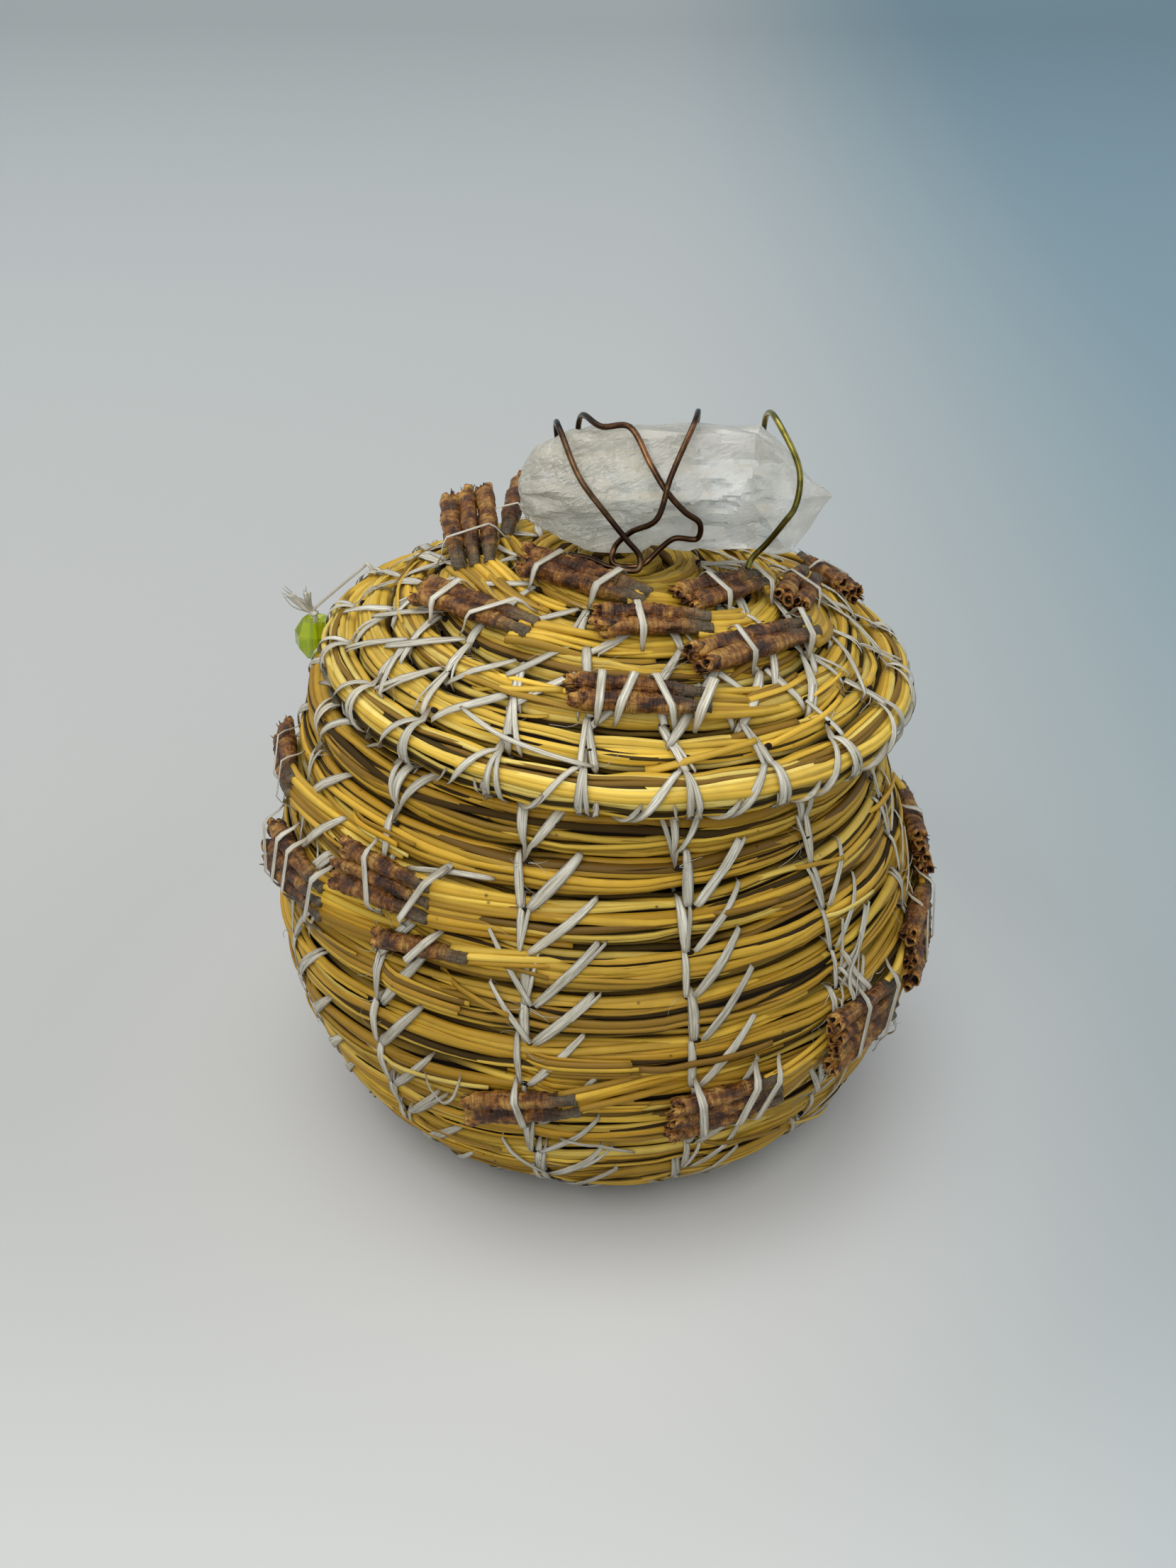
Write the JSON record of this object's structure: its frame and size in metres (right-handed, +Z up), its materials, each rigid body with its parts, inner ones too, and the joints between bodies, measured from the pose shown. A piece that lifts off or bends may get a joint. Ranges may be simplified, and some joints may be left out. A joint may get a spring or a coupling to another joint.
{
  "type": "lidded pine needle basket",
  "caption": "Small round lidded basket coiled from long pine needles and stitched with waxed sinew, with brown needle caps left on and a quartz point wired to the lid.",
  "frame": {"origin": "middle of the foot, on the surface that the basket stands on", "axes": "+Z up out of the mouth, -Y toward the viewer, +X to the viewer's right along the quartz point"},
  "size_m": [0.1004, 0.1035, 0.1069],
  "materials": {
    "needles": "dried long pine needles, golden straw with olive and brown ones, low gloss",
    "inner_needles": "dried long pine needles in the shade, low gloss",
    "sinew": "flat waxed sinew, off-white, fibrous and slightly glossy",
    "caps": "papery dark brown needle caps, striated, with torn golden ends",
    "quartz": "milky clear natural quartz, polished faces with veils inside",
    "bronze": "antiqued dark bronze craft wire",
    "brass": "aged brass craft wire",
    "bead": "clear yellow-green faceted glass"
  },
  "bodies": {
    "basket": {"body_start": "inner_needles", "body_coil_01": "needles", "body_coil_02": "needles", "body_coil_03": "needles", "body_coil_04": "needles", "body_coil_05": "needles", "body_coil_06": "needles", "body_coil_07": "needles", "body_coil_08": "needles", "body_coil_09": "needles", "body_coil_10": "needles", "body_coil_11": "needles", "body_coil_12": "needles", "body_coil_13": "needles", "body_coil_14": "needles", "body_mouth_round": "needles", "body_sinew": "sinew", "caps_body_left_high": "caps", "caps_body_left": "caps", "caps_body_front_left": "caps", "caps_body_front_left_low": "caps", "caps_body_front_low": "caps", "caps_body_front_right": "caps", "caps_body_right_low": "caps", "caps_body_right": "caps", "caps_body_right_high": "caps", "caps_body_back_1": "caps", "caps_body_back_2": "caps", "caps_body_back_3": "caps"},
    "lid": {"lid_start": "needles", "lid_coil_01": "needles", "lid_coil_02": "needles", "lid_coil_03": "needles", "lid_coil_04": "needles", "lid_coil_05": "needles", "lid_coil_06": "needles", "lid_rim_round": "needles", "lid_seat_round_1": "inner_needles", "lid_seat_round_2": "inner_needles", "lid_sinew": "sinew", "caps_lid_left": "caps", "caps_lid_crown": "caps", "caps_lid_crown_right": "caps", "caps_lid_front": "caps", "caps_lid_front_right": "caps", "caps_lid_front_low": "caps", "caps_lid_right": "caps", "caps_lid_right_low": "caps", "caps_lid_back_left": "caps", "caps_lid_back": "caps", "caps_lid_back_right": "caps", "crystal": "quartz", "bronze_wire_hook": "bronze", "bronze_wire_loop": "bronze", "brass_wire_loop": "brass", "bead_thread": "sinew"},
    "bead": {"bead": "bead"}
  },
  "joints": [
    {"name": "lid_lift", "type": "slide", "parent": "basket", "child": "lid", "axis": [0, 0, 1], "range_m": [0, 0.06]},
    {"name": "bead_turn", "type": "hinge", "parent": "lid", "child": "bead", "pos_m": [-0.04408, 0.01653, 0.0648], "axis": [0, 0, 1], "continuous": true}
  ]
}
